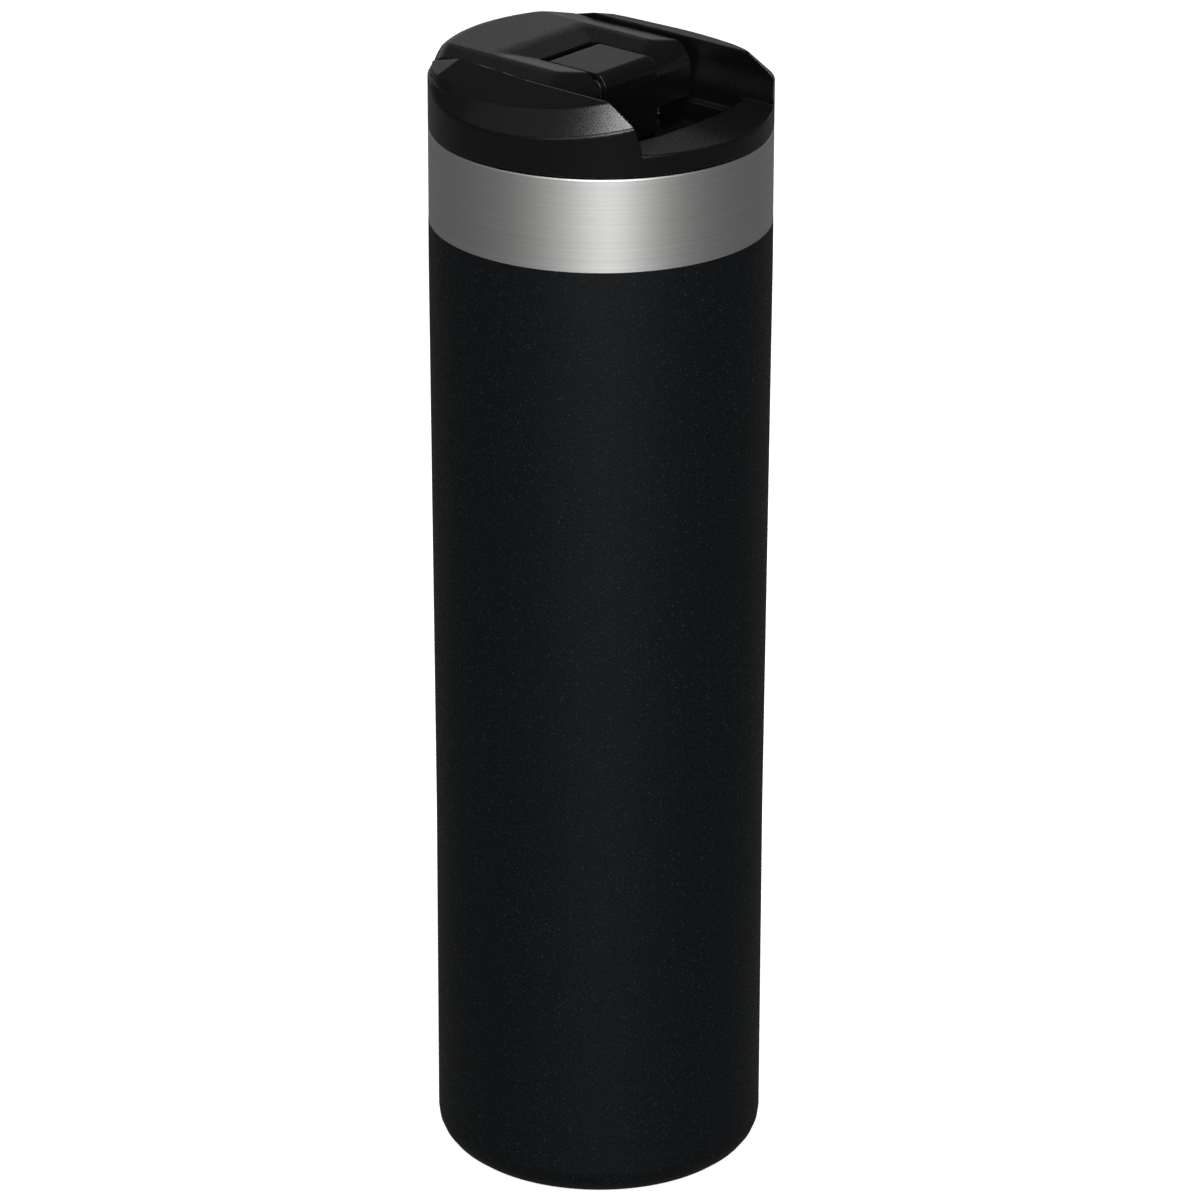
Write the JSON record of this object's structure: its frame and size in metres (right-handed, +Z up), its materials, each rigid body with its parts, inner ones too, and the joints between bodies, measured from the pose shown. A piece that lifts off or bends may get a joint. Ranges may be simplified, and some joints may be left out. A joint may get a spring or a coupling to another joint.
{
  "type": "insulated travel mug",
  "caption": "Slim double-walled steel travel mug with a screw-on lid and a hinged drinking flap that closes the spout.",
  "frame": {"origin": "centre of the base on the surface the mug stands on", "axes": "+Z up along the mug's axis, -Y towards the drinking side, +X to the right seen from the drinking side"},
  "size_m": [0.073, 0.073, 0.2512],
  "materials": {
    "powder_coat": "fine-textured black powder coat",
    "outer_steel": "brushed around the axis",
    "inner_steel": "electropolished",
    "seal_glass": "dark solder glass",
    "getter_metal": "sintered",
    "foil": "bright copper foil",
    "silicone": "matte silicone",
    "plug_plastic": "smooth moulded",
    "foam": "closed-cell foam",
    "lid_plastic": "fine-grained matte moulding",
    "fastener_steel": "plain stainless"
  },
  "bodies": {
    "bottle": {"powder_coat": "powder_coat", "outer_shell": "outer_steel", "base_cup": "inner_steel", "vacuum_seal_bead": "seal_glass", "getter": "getter_metal", "inner_vessel": "inner_steel", "reflector_foil": "foil"},
    "seal_ring": {"lid_gasket": "silicone"},
    "lid": {"lid_plug": "plug_plastic", "lid_insulation": "foam", "vent_valve": "silicone", "channel_seal": "silicone", "lid_shell": "lid_plastic", "lid_screws": "fastener_steel", "top_cover": "lid_plastic", "hinge_pin": "fastener_steel", "detent_spring": "fastener_steel"},
    "flap": {"flap_cover": "lid_plastic", "flap_carrier": "plug_plastic", "flap_seal": "silicone"}
  },
  "joints": [
    {"name": "lid_lift", "type": "slide", "parent": "bottle", "child": "seal_ring", "axis": [0, 0, 1], "range_m": [0, 0.0181]},
    {"name": "lid_turn", "type": "hinge", "parent": "seal_ring", "child": "lid", "pos_m": [0, 0, 0.2359], "axis": [0, 0, 1], "range_deg": [0, 810]},
    {"name": "flap_flip", "type": "hinge", "parent": "lid", "child": "flap", "pos_m": [0, 0.0056, 0.2466], "axis": [-1, 0, 0], "range_deg": [0, 95]}
  ],
  "couplings": [
    {"joint": "lid_lift", "follows": "lid_turn", "m_per_rad": 0.0012732}
  ]
}
